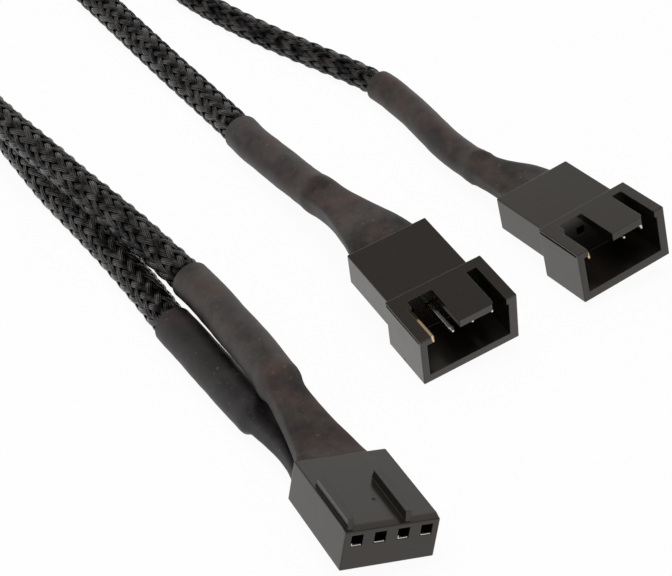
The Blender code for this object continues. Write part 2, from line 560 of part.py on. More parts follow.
class LeadEnd:
    """One end of a lead: the way out of a connector, its sleeve and the cross directions along it."""

    def __init__(self, route, frame, sleeve, far):
        self.route = route
        self.sleeve = sleeve
        self.far = far
        self.hint = frame.matrix_basis.to_3x3() @ Vector((1, 0, 0))

    def place(self, distance):
        """Point, cross direction and up direction at a distance from the connector."""
        if self.far:
            point, direction = self.route.at(self.route.length - distance)
            direction = -direction
        else:
            point, direction = self.route.at(distance)
        across = (self.hint - direction * self.hint.dot(direction)).normalized()
        return point, across, across.cross(direction)

    def half_sizes(self, distance):
        """Half width and half height of the sleeve's outside: flared mouth, narrow neck, bump, round tube."""
        sleeve = self.sleeve
        left = max(1 - distance / sleeve.flare, 0.0)
        width = sleeve.neck_width + (sleeve.mouth_width - sleeve.neck_width) * left ** FLARE_POWER
        height = sleeve.neck_height + (sleeve.mouth_height - sleeve.neck_height) * left
        swell = smooth((distance - sleeve.flare) / (sleeve.bump - sleeve.flare))
        bump = BUMP_HEIGHT * math.exp(-(((distance - sleeve.bump) / BUMP_LENGTH) ** 2))
        return [half + (sleeve.radius - half) * swell + bump for half in (width / 2, height / 2)]

    def squareness(self, distance):
        """Exponent of the section: a rounded oblong at the mouth and neck, a circle from the bump on."""
        swell = smooth((distance - self.sleeve.flare) / (self.sleeve.bump - self.sleeve.flare))
        return OBLONG_EXPONENT + (2 - OBLONG_EXPONENT) * swell

    def ring(self, distance, inset):
        point, across, up = self.place(distance)
        half_width, half_height = [half - inset for half in self.half_sizes(distance)]
        power = 2 / self.squareness(distance)
        ring = []
        for side in range(SLEEVE_SIDES):
            angle = math.tau * side / SLEEVE_SIDES
            x = math.copysign(abs(math.cos(angle)) ** power, math.cos(angle)) * half_width
            z = math.copysign(abs(math.sin(angle)) ** power, math.sin(angle)) * half_height
            ring.append(point + across * x + up * z)
        return ring

    def stations(self):
        """Close rings on the flare and the bump, wider ones on the round tube."""
        sleeve = self.sleeve
        flare = [sleeve.flare * step / FLARE_RINGS for step in range(FLARE_RINGS)]
        swell = [sleeve.flare + (sleeve.bump - sleeve.flare) * step / SWELL_RINGS for step in range(SWELL_RINGS)]
        behind = sleeve.bump + BUMP_LENGTH
        tube = [behind + (sleeve.length - behind) * step / TUBE_RINGS for step in range(TUBE_RINGS + 1)]
        return flare + swell + [sleeve.bump] + tube

    def wire_offsets(self, distance, ways):
        """Places of the wires in the sleeve's row: in line with their ways at the mouth, evenly spaced behind it."""
        row = self.half_sizes(distance)[0] - SLEEVE_WALL - WIRE_DIAMETER / 2 - WIRE_GAP
        evenly = smooth(distance / self.sleeve.flare)
        offsets = []
        for rank, way in enumerate(ways):
            in_line = 2 * way / (WAYS - 1) - 1
            even = 2 * rank / (len(ways) - 1) - 1
            offsets.append(row * (in_line + (even - in_line) * evenly))
        return offsets

    def wire_points(self, rank, ways):
        """Points of one wire in the sleeve; where the row is narrow, neighbours step up and down."""
        points = []
        pitch = WIRE_DIAMETER + WIRE_GAP
        sign = 1 if rank % 2 else -1
        last = self.sleeve.bump - SLEEVE_CLEARANCE
        for step in range(WIRE_STEPS + 1):
            distance = WIRE_ROW_START + (last - WIRE_ROW_START) * step / WIRE_STEPS
            point, across, up = self.place(distance)
            offsets = self.wire_offsets(distance, ways)
            spacing = min(after - before for before, after in zip(offsets, offsets[1:]))
            rise = math.sqrt(max(pitch ** 2 - spacing ** 2, 0.0)) / 2
            points.append(point + across * offsets[rank] + up * (sign * rise))
        return points


def make_sleeve(name, end):
    """Heat-shrink tube: its outside and, one wall further in, its inside, closed at the mouth and the rim."""
    stations = end.stations()
    outside = [end.ring(distance, 0.0) for distance in stations]
    inside = [end.ring(distance, SLEEVE_WALL) for distance in stations]
    rings = outside + inside[::-1]
    builder = bmesh.new()
    rows = [[builder.verts.new(point) for point in ring] for ring in rings]
    for before, after in zip(rows, rows[1:] + rows[:1]):
        for side in range(SLEEVE_SIDES):
            following = (side + 1) % SLEEVE_SIDES
            builder.faces.new((before[side], before[following], after[following], after[side]))
    made = object_from(name, builder, sleeve_skin())
    made.data.shade_smooth()
    made.data.set_sharp_from_angle(angle=math.radians(50))


def tube(name, points, radii, look):
    """A plain round tube through points, with a radius at each and filled ends."""
    curve = bpy.data.curves.new(name, "CURVE")
    curve.dimensions = "3D"
    curve.bevel_depth = 1.0
    curve.bevel_resolution = 2
    curve.use_fill_caps = True
    spline = curve.splines.new("POLY")
    spline.points.add(len(points) - 1)
    for knot, point, radius in zip(spline.points, points, radii):
        knot.co = (*point, 1.0)
        knot.radius = radius
    curve.materials.append(look)
    made = bpy.data.objects.new(name, curve)
    bpy.context.collection.objects.link(made)


def make_wires(name, frame, end, entries, bend):
    """Wires from the crimps of one connector, straight to a bend before its back face, then into the sleeve."""
    turn = frame.matrix_basis
    ways = [way for way, start in entries]
    for rank, (way, start) in enumerate(entries):
        ahead = Vector((start.x, bend, start.z))
        points = [turn @ start, turn @ ahead] + end.wire_points(rank, ways)
        tube(f"{name}{way + 1}", points, [WIRE_DIAMETER / 2] * len(points), wire_skin())


def make_cord(name, near, far, near_radius, far_radius):
    """The braided lead between its two sleeves' bumps: slimmer where a sleeve grips it."""
    route = near.route
    start = near.sleeve.bump
    end = route.length - far.sleeve.bump
    points, radii = [], []
    for step in range(CORD_POINTS):
        share = step / (CORD_POINTS - 1)
        distance = start + (end - start) * share
        free = near_radius + (far_radius - near_radius) * smooth(distance / route.length)
        for lead_end, along in ((near, distance), (far, route.length - distance)):
            gripped = lead_end.sleeve.radius - SLEEVE_WALL - SLEEVE_CLEARANCE
            out = smooth((along - lead_end.sleeve.length - RIM_CLEARANCE) / RIM_SWELL)
            free = min(free, gripped + (free - gripped) * out)
        points.append(route.at(distance)[0])
        radii.append(free)
    tube(name, points, radii, braid())


def lead_route(hand_points, plug, plug_height, housing):
    """A route from the plug's back face to a pin housing's, straight out of both."""
    out = plug.matrix_basis
    into = housing.matrix_basis
    plug_y = PLUG_LENGTH + SLEEVE_CLEARANCE
    housing_y = HOUSING_LENGTH + SLEEVE_CLEARANCE
    points = [out @ Vector((PLUG_LEAD_SHIFT, plug_y + step, plug_height)) for step in (0.0, LEAD_STRAIGHT)]
    points += [Vector(point) * MM for point in hand_points]
    points += [into @ Vector((REAR_MIDDLE, housing_y + step, PIN_HEIGHT)) for step in (LEAD_STRAIGHT, 0.0)]
    return Route(points)


def make_branch(letter, plug, housing, route, sleeves, ways, crimp_z, radii):
    """One lead: wires and sleeve at the plug, the braided cord, sleeve and wires at its pin housing."""
    near = LeadEnd(route, plug, sleeves[0], far=False)
    far = LeadEnd(route, housing, sleeves[1], far=True)
    entries = [(way, Vector((way_x(way), PLUG_CRIMP_END + SLEEVE_CLEARANCE, crimp_z))) for way in ways]
    make_wires(f"plug_wire_{letter}", plug, near, entries, PLUG_LENGTH - PLUG_WIRE_BEND)
    crimp_y = PIN_CRIMP_END + SLEEVE_CLEARANCE
    mirrored = sorted(WAYS - 1 - way for way in ways)
    offset = MOUTH_MIDDLE - TERMINAL_OFFSET
    entries = [(way, Vector((offset + way_x(way), crimp_y, PIN_HEIGHT))) for way in mirrored]
    make_wires(f"housing_wire_{letter}", housing, far, entries, HOUSING_LENGTH - HOUSING_WIRE_BEND)
    make_sleeve(f"plug_sleeve_{letter}", near)
    make_sleeve(f"housing_sleeve_{letter}", far)
    make_cord(f"cord_{letter}", near, far, *radii)
    make_pin_housing(letter, housing)
    make_pins(letter, housing, mirrored, GILT_WAYS)


def main():
    for leftover in list(bpy.data.objects):
        bpy.data.objects.remove(leftover, do_unlink=True)
    plug = connector_frame("plug_frame", PLUG_PLACE)
    housing_a = connector_frame("housing_a_frame", HOUSING_A_PLACE)
    housing_b = connector_frame("housing_b_frame", HOUSING_B_PLACE)
    make_plug_housing(plug)
    make_sockets(plug)
    route_a = lead_route(ROUTE_A, plug, PLUG_LEAD_HEIGHT_A, housing_a)
    route_b = lead_route(ROUTE_B, plug, PLUG_LEAD_HEIGHT_B, housing_b)
    low = PLUG_CRIMP_HEIGHT - WIRE_CRIMP_SPREAD
    high = PLUG_CRIMP_HEIGHT + WIRE_CRIMP_SPREAD
    sleeves = (PLUG_SLEEVE_A, HOUSING_SLEEVE_A)
    radii = (CORD_RADIUS_A, CORD_RADIUS_A)
    make_branch("a", plug, housing_a, route_a, sleeves, BRANCH_A_WAYS, low, radii)
    sleeves = (PLUG_SLEEVE_B, HOUSING_SLEEVE_B)
    radii = (CORD_RADIUS_A, CORD_RADIUS_B)
    make_branch("b", plug, housing_b, route_b, sleeves, BRANCH_B_WAYS, high, radii)


main()
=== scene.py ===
"""Looks of the fan splitter cable: moulded housings, plated contacts, shrunk sleeves and woven leads."""

import math

import bmesh
import bpy
import numpy as np
from mathutils import Matrix, Vector, noise


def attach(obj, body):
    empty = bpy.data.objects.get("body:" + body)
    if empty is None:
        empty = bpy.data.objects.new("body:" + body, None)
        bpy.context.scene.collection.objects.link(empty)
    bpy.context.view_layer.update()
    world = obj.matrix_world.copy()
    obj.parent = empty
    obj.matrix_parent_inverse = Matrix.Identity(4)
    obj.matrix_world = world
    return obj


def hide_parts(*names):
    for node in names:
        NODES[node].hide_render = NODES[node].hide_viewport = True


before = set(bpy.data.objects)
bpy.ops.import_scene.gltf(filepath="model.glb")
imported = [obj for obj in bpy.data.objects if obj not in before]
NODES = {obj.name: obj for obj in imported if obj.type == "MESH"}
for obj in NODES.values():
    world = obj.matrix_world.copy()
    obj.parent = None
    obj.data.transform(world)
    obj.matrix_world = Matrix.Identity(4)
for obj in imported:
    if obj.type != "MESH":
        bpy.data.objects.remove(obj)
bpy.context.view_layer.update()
MOULDINGS = ("female_housing", "male_housing_a", "male_housing_b")
MM = 0.001

# Places of the connectors, as the solids have them: origin, turn, nose up and lean
PLUG_PLACE = (Vector((-21.7, -39.2, 2.1)) * MM, 0.0, -5.22, 11.31)
HOUSING_A_PLACE = (Vector((0.95, -14.2, 0.95)) * MM, 5.35, 4.23, -9.14)
HOUSING_B_PLACE = (Vector((23.5, -9.65, 1.87)) * MM, 7.05, -7.08, -9.3)

# Where the leads start behind the connectors, in each connector's own frame
PLUG_EXIT_A = Vector((-0.3, 12.7, 1.17)) * MM
PLUG_EXIT_B = Vector((-0.3, 12.7, 3.41)) * MM
HOUSING_EXIT = Vector((-0.7, 16.45, 4.65)) * MM
LEAD_STRAIGHT = 2.0 * MM

# Gate marks of the mouldings, in the connectors' own frames, in millimetres
PLUG_GATE = Vector((-0.02, 4.4, 4.66))
HOUSING_GATE = Vector((-6.2, 4.0, 0.5))

# Sills of the plug's holes in its own frame, in millimetres, where the contacts' front edges show
HOLE_PITCH = 2.54
HOLE_SILL = 2.8
HOLE_SIDE = 1.3

# The contacts' front edges: the strip's thickness, its depth, its distance behind the plug's face,
# its rounding, and how far the left end of each is bent up
EDGE_THICK = 0.1 * MM
EDGE_DEPTH = 0.25 * MM
EDGE_BEHIND = 0.16 * MM
EDGE_ROUNDING = 0.015 * MM
EDGE_BENDS = (0.22, 0.06, 0.3, 0.06)

# Points of the leads between the connectors, in millimetres
ROUTE_A = (
    (-22.1, -22.6, 2.2), (-22.9, -19.5, 2.3), (-24.1, -16.1, 2.4), (-25.1, -12.3, 2.4), (-25.8, -7.5, 2.4),
    (-26.6, -1.6, 2.4), (-27.3, 4.0, 2.3), (-27.8, 11.3, 2.1), (-28.7, 19.2, 2.1), (-29.8, 26.7, 2.1),
    (-31.0, 34.3, 2.1), (-31.8, 42.4, 2.1), (-32.6, 51.5, 2.1), (-33.7, 61.9, 2.1), (-34.8, 72.9, 2.1),
    (-35.7, 82.5, 2.1), (-33.4, 91.9, 2.1), (-25.4, 96.3, 2.1), (-16.7, 93.1, 2.1), (-12.4, 84.7, 2.1),
    (-10.8, 75.0, 2.1), (-9.4, 64.5, 2.1), (-7.9, 53.5, 2.1), (-6.7, 45.5, 2.1), (-5.7, 36.9, 2.4),
    (-5.4, 32.2, 2.8), (-4.9, 27.5, 3.3), (-4.4, 22.9, 3.9), (-3.9, 18.0, 4.6), (-3.3, 13.6, 5.3),
    (-2.7, 9.5, 6.0),
)
ROUTE_B = (
    (-21.6, -22.3, 4.6), (-22.1, -19.1, 5.6), (-22.5, -15.4, 6.7), (-22.7, -10.0, 6.9), (-23.0, -3.9, 6.2),
    (-23.2, 2.6, 5.5), (-23.9, 7.5, 5.2), (-25.0, 12.2, 5.4), (-26.4, 17.4, 5.9), (-28.0, 22.9, 6.3),
    (-29.5, 28.1, 6.5), (-31.0, 34.5, 6.6), (-32.8, 42.3, 6.5), (-34.7, 51.9, 6.2), (-37.0, 62.4, 5.2),
    (-39.5, 73.5, 3.3), (-41.2, 84.9, 2.1), (-36.4, 98.1, 2.1), (-21.6, 104.5, 2.1), (-7.3, 98.2, 2.1),
    (-1.4, 84.5, 2.1), (0.1, 76.2, 2.0), (1.9, 69.1, 1.9), (4.3, 62.7, 1.8), (6.9, 56.7, 1.8),
    (10.0, 50.5, 1.8), (13.0, 44.5, 1.9), (15.0, 39.1, 2.15), (15.8, 34.5, 2.3), (16.2, 30.1, 2.45),
    (16.2, 25.7, 2.7), (16.3, 21.5, 2.9), (16.8, 17.6, 3.2), (17.8, 13.6, 3.5),
)

# Sleeves: the tube's wall, how hard it grips the braid, how far its mouth is pushed against the connector,
# and where the braid swells again past its rim
SLEEVE_WALL = 0.33 * MM
SLEEVE_GRIP = 0.25 * MM
MOUTH_REACH = 0.22 * MM
RIM_CLEARANCE = 0.3 * MM
RIM_SWELL = 1.2 * MM

# Each sleeve, in millimetres: its length, the distance of the braid's end under it from the connector,
# its mouth and its neck as width and height, the length of the flare, and the radius of the round tube
PLUG_SLEEVE_A = dict(length=30.9, bump=13.0, mouth=(8.6, 1.9), neck=(4.3, 2.6), flare=11.4, radius=2.33)
PLUG_SLEEVE_B = dict(length=33.9, bump=11.8, mouth=(8.6, 1.9), neck=(4.3, 2.6), flare=10.2, radius=2.33)
HOUSING_SLEEVE_A = dict(length=34.6, bump=15.2, mouth=(8.9, 2.1), neck=(4.4, 3.4), flare=12.6, radius=2.33)
HOUSING_SLEEVE_B = dict(length=32.6, bump=9.1, mouth=(8.9, 2.1), neck=(4.0, 3.0), flare=8.0, radius=2.05)

# Form of a sleeve: how the flare curves, the bump over the braid's end, and the squareness of its section,
# which goes from a rounded rectangle at the wires to a circle at the braid
FLARE_CURVE = 1.5
BUMP_HEIGHT = 0.15
BUMP_WIDTH = 1.0
FLAT_SECTION = 3.8
ROUND_SECTION = 2
# Grooves between the wires, in millimetres
GROOVE_DEPTH = 0.035
# Dents of the shrunk tube: how many to a metre and how deep in millimetres
DENTS = ((260.0, 0.08), (800.0, 0.03))
SLEEVE_SIDES = 64
SLEEVE_STEP = 0.5

# Braid: its radii, strands each way, the length of one turn, how much of its room a strand fills,
# how far it dives under its neighbours, its crown, and the lanes and rows of its mesh.
# A float is the stretch in which a strand lies over two others.
CORD_RADIUS_A = 2.1 * MM
CORD_RADIUS_B = 1.68 * MM
CARRIERS = 12
TURN_LENGTH = 29.0 * MM
STRAND_FILL = 0.94
DIVE = 0.19 * MM
STRAND_CROWN = 0.15 * MM
STRAND_LANES = 6
SAMPLES_PER_FLOAT = 5
CORE_SIDES = 20
CORE_STEP = 4
PATH_POINTS = 60

# The photograph's view
CAMERA_PLACE = Vector((-87.0, -168.7, 150.4)) * MM
CAMERA_PITCH = 51.82
CAMERA_YAW = -24.8
CAMERA_LENS = 112.5

# Light: the level of the plain surroundings on the object, the lamp, and how much of the white the eye gets
# from the floor by itself
PLAIN_LEVEL = 0.25
LAMP_PLACE = Vector((-0.06, 0.02, 0.5))
LAMP_SIZE = 0.4
LAMP_POWER = 1.8
FLOOR_SHOWN = 0.95

# Finishes as sRGB codes
NYLON_BLACK = "191613"
# Painted shade for the pits of the gate marks
PIT_PAINTED_SHADE = "040404"
TIN = "dcdad4"
GILT = "dcc493"
DUST = "777069"


def linear(code):
    """Linear RGBA of an sRGB hex code."""
    channels = [int(code[i:i + 2], 16) / 255 for i in (0, 2, 4)]
    return [c / 12.92 if c <= 0.04045 else ((c + 0.055) / 1.055) ** 2.4 for c in channels] + [1.0]


def add_node(tree, kind, settings=None, links=None, **values):
    """Adds a node with its settings, its socket values and links from other nodes' sockets."""
    node = tree.nodes.new(kind)
    for name, value in (settings or {}).items():
        setattr(node, name, value)
    for name, value in values.items():
        node.inputs[name.replace("_", " ")].default_value = value
    for socket, source in (links or {}).items():
        tree.links.new(source, node.inputs[socket])
    return node


def new_material(name, **values):
    """A material with a Principled BSDF, whose sockets take the values given."""
    material = bpy.data.materials.new(name)
    material.use_nodes = True
    tree = material.node_tree
    shader = tree.nodes["Principled BSDF"]
    for socket, value in values.items():
        shader.inputs[socket.replace("_", " ")].default_value = value
    return material, tree, shader


def shown_rays(tree):
    """1 for rays that reach the eye straight, by reflection or through glass, and 0 for the rest."""
    rays = add_node(tree, "ShaderNodeLightPath")
    seen = add_node(
        tree, "ShaderNodeMath", {"operation": "MAXIMUM"},
        links={0: rays.outputs["Is Camera Ray"], 1: rays.outputs["Is Glossy Ray"]},
    )
    either = add_node(
        tree, "ShaderNodeMath", {"operation": "MAXIMUM"},
        links={0: seen.outputs["Value"], 1: rays.outputs["Is Transmission Ray"]},
    )
    return either.outputs["Value"]


def smooth(share):
    """Eases a share from 0 to 1, with a level start and end."""
    share = min(max(share, 0.0), 1.0)
    return share * share * (3 - 2 * share)


def moulded_nylon(gates):
    """Smooth injection-moulded PA66: near black, with a faint grain, rounded edges and gate marks."""
    material, tree, shader = new_material(
        "moulded black nylon", Base_Color=linear(NYLON_BLACK), Roughness=0.22, IOR=1.56,
    )
    shader.inputs["Specular Tint"].default_value = linear("fff6ee")
    place = add_node(tree, "ShaderNodeTexCoord").outputs["Object"]
    # Grain of the mould's spark-eroded steel, about 0.15 mm
    grain = add_node(tree, "ShaderNodeTexNoise", links={"Vector": place}, Scale=6500.0, Detail=3.0)
    # Slow unevenness of the skin where the plastic shrank, about 2 mm
    flow = add_node(tree, "ShaderNodeTexNoise", links={"Vector": place}, Scale=500.0, Detail=2.0)
    rough = add_node(
        tree, "ShaderNodeMapRange", links={"Value": flow.outputs["Fac"]}, To_Min=0.18, To_Max=0.28,
    )
    tree.links.new(rough.outputs["Result"], shader.inputs["Roughness"])
    edge = add_node(tree, "ShaderNodeBevel", {"samples": 4}, Radius=0.00013)
    # Where the moulding was broken off its gates: pits of about 0.3 mm, dipped by a bump and darkened with
    # painted shade
    reaches = []
    for gate in gates:
        reach = add_node(tree, "ShaderNodeVectorMath", {"operation": "DISTANCE"}, links={0: place})
        reach.inputs[1].default_value = gate
        reaches.append(reach.outputs["Value"])
    nearest = add_node(tree, "ShaderNodeMath", {"operation": "MINIMUM"}, links=dict(enumerate(reaches)))
    pit_and_painted_shade = add_node(
        tree, "ShaderNodeMapRange", links={"Value": nearest.outputs["Value"]},
        From_Min=0.0001, From_Max=0.00024,
    )
    # The pits' near-black colour is painted shade
    tone = add_node(tree, "ShaderNodeMix", {"data_type": "RGBA"}, links={0: pit_and_painted_shade.outputs["Result"]})
    tone.inputs[6].default_value = linear(PIT_PAINTED_SHADE)
    tone.inputs[7].default_value = linear(NYLON_BLACK)
    tree.links.new(tone.outputs[2], shader.inputs["Base Color"])
    dip = add_node(
        tree, "ShaderNodeBump", links={"Height": pit_and_painted_shade.outputs["Result"], "Normal": edge.outputs["Normal"]},
        Strength=1.0, Distance=0.0002,
    )
    wave = add_node(
        tree, "ShaderNodeBump", links={"Height": flow.outputs["Fac"], "Normal": dip.outputs["Normal"]},
        Strength=0.12, Distance=0.00006,
    )
    bump = add_node(
        tree, "ShaderNodeBump", links={"Height": grain.outputs["Fac"], "Normal": wave.outputs["Normal"]},
        Strength=0.3, Distance=0.000006,
    )
    tree.links.new(bump.outputs["Normal"], shader.inputs["Normal"])
    return material


def plated_metal(name, colour):
    """Plated phosphor bronze strip: bright, with fine drawing marks along it."""
    material, tree, shader = new_material(name, Base_Color=linear(colour), Metallic=1.0, Roughness=0.24)
    place = add_node(tree, "ShaderNodeTexCoord").outputs["Object"]
    stretch = add_node(tree, "ShaderNodeMapping", links={"Vector": place}, Scale=(1.0, 0.05, 1.0))
    # Drawing marks about 0.05 mm apart
    marks = add_node(
        tree, "ShaderNodeTexNoise", links={"Vector": stretch.outputs["Vector"]}, Scale=20000.0, Detail=2.0,
    )
    rough = add_node(
        tree, "ShaderNodeMapRange", links={"Value": marks.outputs["Fac"]}, To_Min=0.08, To_Max=0.2,
    )
    tree.links.new(rough.outputs["Result"], shader.inputs["Roughness"])
    edge = add_node(tree, "ShaderNodeBevel", {"samples": 4}, Radius=0.00012)
    tree.links.new(edge.outputs["Normal"], shader.inputs["Normal"])
    return material


def shrunk_polyolefin(name, dark, pale):
    """Heat-shrink tube: satin black polyolefin, cloudy and browned where the heat caught it unevenly."""
    material, tree, shader = new_material(name, Base_Color=linear(pale), Roughness=0.5, IOR=1.49)
    place = add_node(tree, "ShaderNodeTexCoord").outputs["Object"]
    # Clouds of bloom on the skin, 3 to 4 mm across
    cloud = add_node(
        tree, "ShaderNodeTexNoise", links={"Vector": place}, Scale=300.0, Detail=5.0, Roughness=0.65,
    )
    tone = add_node(tree, "ShaderNodeValToRGB", links={"Fac": cloud.outputs["Fac"]})
    for element, position, code in zip(tone.color_ramp.elements, (0.38, 0.64), (dark, pale)):
        element.position = position
        element.color = linear(code)
    # Brown scorch in patches about 8 mm long
    scorch = add_node(tree, "ShaderNodeTexNoise", links={"Vector": place}, Scale=130.0, Detail=2.0)
    where = add_node(
        tree, "ShaderNodeMapRange", links={"Value": scorch.outputs["Fac"]}, From_Min=0.4, From_Max=0.62,
    )
    skin = add_node(
        tree, "ShaderNodeMix", {"data_type": "RGBA", "blend_type": "MULTIPLY"},
        links={0: where.outputs["Result"], 6: tone.outputs["Color"]},
    )
    skin.inputs[7].default_value = (1.0, 0.74, 0.7, 1.0)
    # Scuffs and dust, specks of a few tenths of a millimetre
    grit = add_node(
        tree, "ShaderNodeTexNoise", links={"Vector": place}, Scale=1600.0, Detail=4.0, Roughness=0.7,
    )
    speck = add_node(
        tree, "ShaderNodeMapRange", links={"Value": grit.outputs["Fac"]},
        From_Min=0.62, From_Max=0.72, To_Max=0.45,
    )
    dusty = add_node(
        tree, "ShaderNodeMix", {"data_type": "RGBA"},
        links={0: speck.outputs["Result"], 6: skin.outputs[2]},
    )
    dusty.inputs[7].default_value = linear(DUST)
    tree.links.new(dusty.outputs[2], shader.inputs["Base Color"])
    rough = add_node(
        tree, "ShaderNodeMapRange", links={"Value": cloud.outputs["Fac"]}, To_Min=0.4, To_Max=0.66,
    )
    tree.links.new(rough.outputs["Result"], shader.inputs["Roughness"])
    # Fine orange peel of the extruded skin, 0.25 mm
    peel = add_node(tree, "ShaderNodeTexNoise", links={"Vector": place}, Scale=4000.0, Detail=3.0)
    bump = add_node(
        tree, "ShaderNodeBump", links={"Height": peel.outputs["Fac"]}, Strength=0.5, Distance=0.00002,
    )
    tree.links.new(bump.outputs["Normal"], shader.inputs["Normal"])
    return material


def wire_pvc():
    """Black PVC insulation of the inner wires, satin."""
    material, tree, shader = new_material(
        "black PVC insulation", Base_Color=linear("151414"), Roughness=0.4,
    )
    place = add_node(tree, "ShaderNodeTexCoord").outputs["Object"]
    skin = add_node(tree, "ShaderNodeTexNoise", links={"Vector": place}, Scale=3000.0, Detail=2.0)
    bump = add_node(
        tree, "ShaderNodeBump", links={"Height": skin.outputs["Fac"]}, Strength=0.3, Distance=0.00001,
    )
    tree.links.new(bump.outputs["Normal"], shader.inputs["Normal"])
    return material


def woven_polyester():
    """Polyester monofilament: glossy round filaments side by side in each flat strand."""
    # The IOR is above polyester's 1.6, for the glints of the filaments that are too fine to draw
    material, tree, shader = new_material(
        "braided polyester", Base_Color=linear("0b0908"), Roughness=0.16, IOR=1.9,
    )
    across = add_node(tree, "ShaderNodeUVMap", {"uv_map": "strand"})
    split = add_node(tree, "ShaderNodeSeparateXYZ", links={"Vector": across.outputs["UV"]})
    # Four filaments of 0.22 mm in a strand of 0.9 mm: the real six or more would be too fine to show
    turns = add_node(tree, "ShaderNodeMath", {"operation": "MULTIPLY"}, links={0: split.outputs["X"]})
    turns.inputs[1].default_value = 4 * math.pi
    wave = add_node(tree, "ShaderNodeMath", {"operation": "SINE"}, links={0: turns.outputs["Value"]})
    crest = add_node(tree, "ShaderNodeMath", {"operation": "ABSOLUTE"}, links={0: wave.outputs["Value"]})
    bump = add_node(
        tree, "ShaderNodeBump", links={"Height": crest.outputs["Value"]}, Strength=1.0, Distance=0.00006,
    )
    tree.links.new(bump.outputs["Normal"], shader.inputs["Normal"])
    # The furrows between filaments lie in their shade and throw nothing back
    shine = add_node(tree, "ShaderNodeValToRGB", links={"Fac": crest.outputs["Value"]})
    shine.color_ramp.elements[0].position = 0.3
    shine.color_ramp.elements[0].color = (0.02, 0.02, 0.02, 1.0)
    shine.color_ramp.elements[1].position = 0.85
    shine.color_ramp.elements[1].color = (1.0, 0.96, 0.92, 1.0)
    place = add_node(tree, "ShaderNodeTexCoord").outputs["Object"]
    # Strands take the light differently every millimetre or two
    shade = add_node(tree, "ShaderNodeTexNoise", links={"Vector": place}, Scale=600.0, Detail=3.0)
    lustre = add_node(
        tree, "ShaderNodeMapRange", links={"Value": shade.outputs["Fac"]},
        From_Min=0.42, From_Max=0.6, To_Min=0.04, To_Max=1.0,
    )
    gleam = add_node(
        tree, "ShaderNodeMix", {"data_type": "RGBA", "blend_type": "MULTIPLY"},
        links={6: shine.outputs["Color"], 7: lustre.outputs["Result"]},
    )
    gleam.inputs[0].default_value = 1.0
    tree.links.new(gleam.outputs[2], shader.inputs["Specular Tint"])
    tone = add_node(tree, "ShaderNodeValToRGB", links={"Fac": shade.outputs["Fac"]})
    for element, position, code in zip(tone.color_ramp.elements, (0.42, 0.62), ("020202", "15110f")):
        element.position = position
        element.color = linear(code)
    tree.links.new(tone.outputs["Color"], shader.inputs["Base Color"])
    return material


def shaded_wires():
    """What shows between the strands: the wires' insulation in deep shade."""
    material, tree, shader = new_material(
        "shade under the braid", Base_Color=linear("050505"), Roughness=0.8,
    )
    place = add_node(tree, "ShaderNodeTexCoord").outputs["Object"]
    # Wires and the deeper shade between them, about 1.4 mm
    lie = add_node(tree, "ShaderNodeTexNoise", links={"Vector": place}, Scale=700.0, Detail=2.0)
    tone = add_node(tree, "ShaderNodeValToRGB", links={"Fac": lie.outputs["Fac"]})
    for element, position, code in zip(tone.color_ramp.elements, (0.4, 0.6), ("020202", "090908")):
        element.position = position
        element.color = linear(code)
    tree.links.new(tone.outputs["Color"], shader.inputs["Base Color"])
    return material


def matrix_of(place):
    """A connector's own frame: turned about z, tipped about x, then leaned about y."""
    origin, turn, nose, lean = place
    matrix = Matrix.Translation(origin)
    for angle, axis in ((turn, "Z"), (nose, "X"), (lean, "Y")):
        matrix = matrix @ Matrix.Rotation(math.radians(angle), 4, axis)
    return matrix


class Route:
    """A smooth curve through given points, read by the distance along it."""

    SAMPLES = 24

    def __init__(self, points):
        first = points[0] * 2 - points[1]
        last = points[-1] * 2 - points[-2]
        guide = [first, *points, last]
        self.points = []
        for index in range(1, len(guide) - 2):
            four = guide[index - 1:index + 3]
            self.points += [self.between(four, step / self.SAMPLES) for step in range(self.SAMPLES)]
        self.points.append(points[-1])
        self.marks = [0.0]
        for before, after in zip(self.points, self.points[1:]):
            self.marks.append(self.marks[-1] + (after - before).length)
        self.length = self.marks[-1]

    @staticmethod
    def between(four, share):
        """Centripetal interpolation between the second and third of four points."""
        knots = [0.0]
        for before, after in zip(four, four[1:]):
            knots.append(knots[-1] + math.sqrt((after - before).length))
        at = knots[1] + (knots[2] - knots[1]) * share

        def blend(one, other, low, high):
            return one.lerp(other, (at - knots[low]) / (knots[high] - knots[low]))

        legs = [blend(four[index], four[index + 1], index, index + 1) for index in range(3)]
        arcs = [blend(legs[index], legs[index + 1], index, index + 2) for index in range(2)]
        return blend(arcs[0], arcs[1], 1, 2)

    def at(self, distance):
        """Points at distances along the curve, as an array."""
        table = np.array([tuple(point) for point in self.points])
        return np.stack([np.interp(distance, self.marks, table[:, axis]) for axis in range(3)], axis=-1)


def lead_route(hand_points, plug, plug_exit, housing):
    """A route from the plug's back face to a pin housing's, straight out of both."""
    straight = Vector((0.0, LEAD_STRAIGHT, 0.0))
    points = [plug @ plug_exit, plug @ (plug_exit + straight)]
    points += [Vector(point) * MM for point in hand_points]
    points += [housing @ (HOUSING_EXIT + straight), housing @ HOUSING_EXIT]
    return Route(points)


def cord_radius(route, near, far, radii, distance):
    """Radius of the braid: it tapers along the lead and is pinched where a sleeve grips it."""
    free = radii[0] + (radii[1] - radii[0]) * smooth(distance / route.length)
    for sleeve, along in ((near, distance), (far, route.length - distance)):
        out = smooth((along - sleeve["length"] * MM - RIM_CLEARANCE) / RIM_SWELL)
        grip = sleeve["radius"] * MM - SLEEVE_WALL - SLEEVE_GRIP
        free = min(free, grip + (free - grip) * out)
    return free


